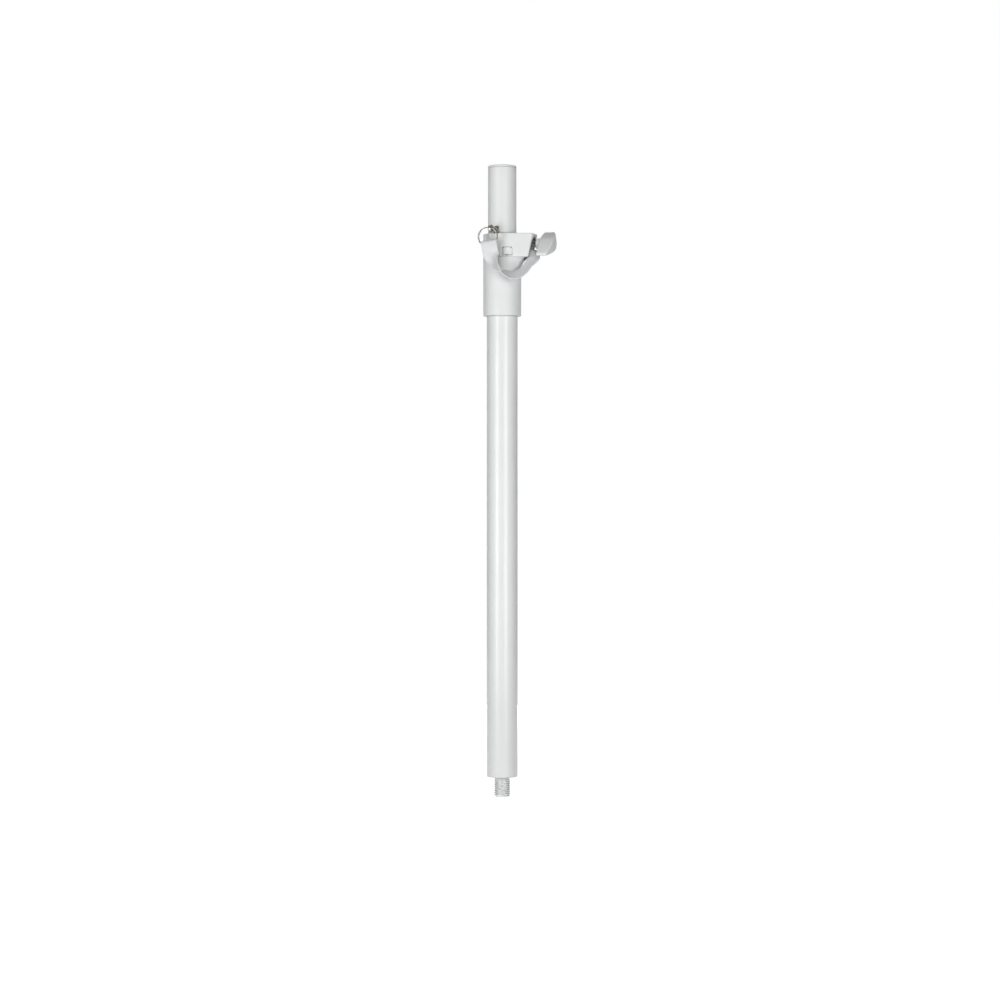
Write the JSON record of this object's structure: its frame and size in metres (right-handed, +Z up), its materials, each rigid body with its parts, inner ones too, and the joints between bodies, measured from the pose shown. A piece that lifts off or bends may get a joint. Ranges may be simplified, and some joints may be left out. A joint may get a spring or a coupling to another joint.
{
  "type": "speaker pole",
  "caption": "Telescopic speaker pole: a tube slides in a wider tube with a threaded foot, held by a clamp sleeve with a wing knob and a tethered locking pin.",
  "frame": {"origin": "on the pole's axis at the shoulder that seats on the subwoofer, where the threaded stud comes out of the base plug", "axes": "+Z up the pole towards the cap, +X from the axis towards the wing knob, -Y the side with the locking pin and its ring"},
  "size_m": [0.0904, 0.0699, 0.7754],
  "materials": {
    "satin_paint": "satin white powder coat",
    "gloss_paint": "glossy white paint",
    "white_plastic": "matt moulded plastic, white",
    "guide_plastic": "plain moulded guide plastic",
    "strap_plastic": "soft cool grey-white strap",
    "zinc": "bright zinc plate",
    "nickel": "nickel plate"
  },
  "bodies": {
    "root": {"lower_tube": "gloss_paint", "base_plug": "zinc", "threaded_stud": "zinc", "stud_lock_washer": "zinc", "stud_nut": "zinc", "clamp_sleeve": "white_plastic", "guide_bush": "guide_plastic", "tether_strap": "strap_plastic", "sleeve_screw_1": "zinc", "sleeve_screw_2": "zinc", "clamp_nut": "zinc", "lug_washer": "zinc"},
    "sliding_tube": {"upper_tube": "satin_paint", "tube_cap": "white_plastic", "foot_guide": "guide_plastic", "foot_pin": "zinc"},
    "pad": {"pressure_pad": "guide_plastic"},
    "knob": {"clamp_screw": "zinc", "clamp_knob": "white_plastic"},
    "pin": {"locking_pin": "nickel"},
    "ring": {"split_ring": "nickel"}
  },
  "joints": [
    {"name": "tube_slide", "type": "slide", "parent": "root", "child": "sliding_tube", "axis": [0, 0, 1], "range_m": [0, 0.48]},
    {"name": "pad_slide", "type": "slide", "parent": "root", "child": "pad", "axis": [1, 0, 0], "range_m": [0, 0.004]},
    {"name": "knob_turn", "type": "hinge", "parent": "pad", "child": "knob", "pos_m": [0.044, 0, 0.6538], "axis": [1, 0, 0], "range_deg": [0, 1080]},
    {"name": "pin_pull", "type": "slide", "parent": "root", "child": "pin", "axis": [-0.1564, -0.9877, 0], "range_m": [0, 0.05], "deforming": ["tether_strap"]},
    {"name": "ring_swing", "type": "hinge", "parent": "pin", "child": "ring", "pos_m": [-0.00535, -0.03378, 0.6709], "axis": [-0.9877, 0.1564, 0], "range_deg": [-12, 90]}
  ],
  "couplings": [
    {"joint": "pad_slide", "follows": "knob_turn", "m_per_rad": 0.00019894}
  ]
}
